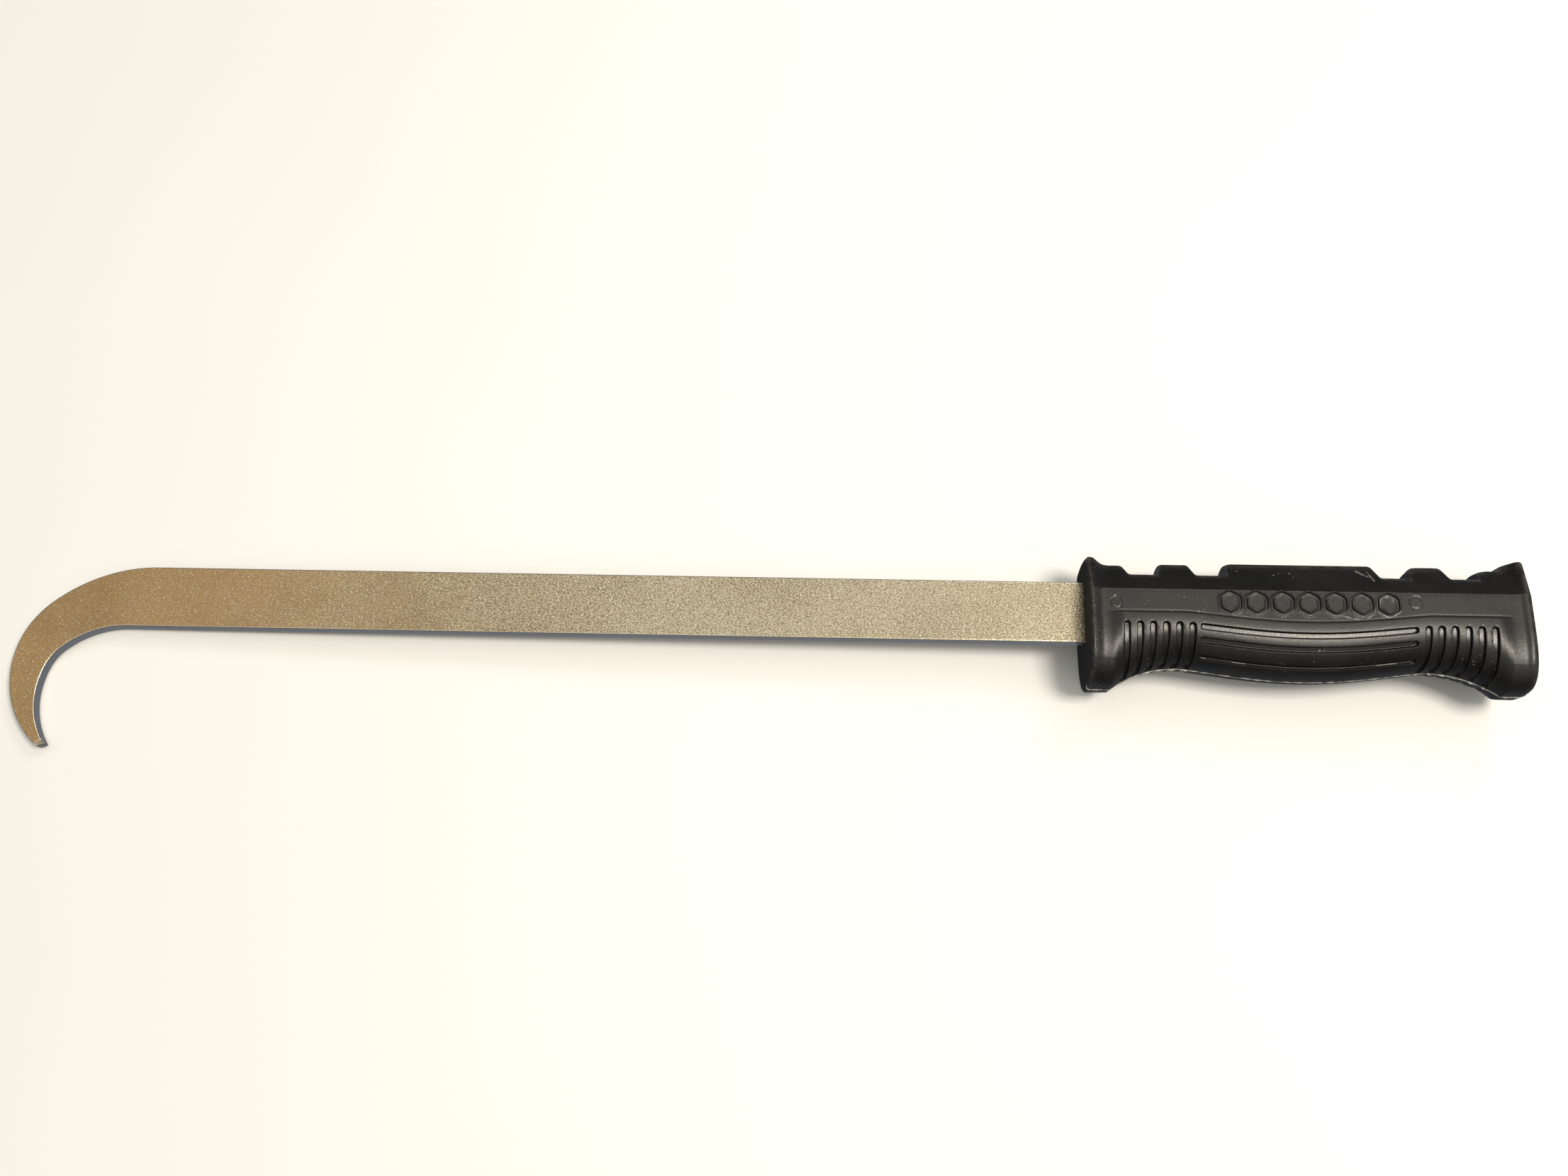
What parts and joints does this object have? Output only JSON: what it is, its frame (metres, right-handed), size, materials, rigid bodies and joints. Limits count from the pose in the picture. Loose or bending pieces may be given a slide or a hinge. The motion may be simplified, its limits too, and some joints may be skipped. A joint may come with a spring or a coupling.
{
  "type": "hive tool",
  "caption": "Long flat steel bar with a pointed side hook at one end and a moulded grip with a notched spine and grooved finger side on the other, for prising and lifting hive frames.",
  "frame": {"origin": "under the middle of the tool's box, level with the grip's lowest edges as it lies on its flat side", "axes": "+X along the bar from the hook to the pommel, +Y towards the grip's notched spine, +Z out of the bar's upper wide face"},
  "size_m": [0.4754, 0.0674, 0.0285],
  "materials": {
    "steel": "satin rolled flat stock",
    "moulding": "satin black moulding"
  },
  "bodies": {
    "root": {"hook_bar": "steel", "grip": "moulding"}
  },
  "joints": []
}
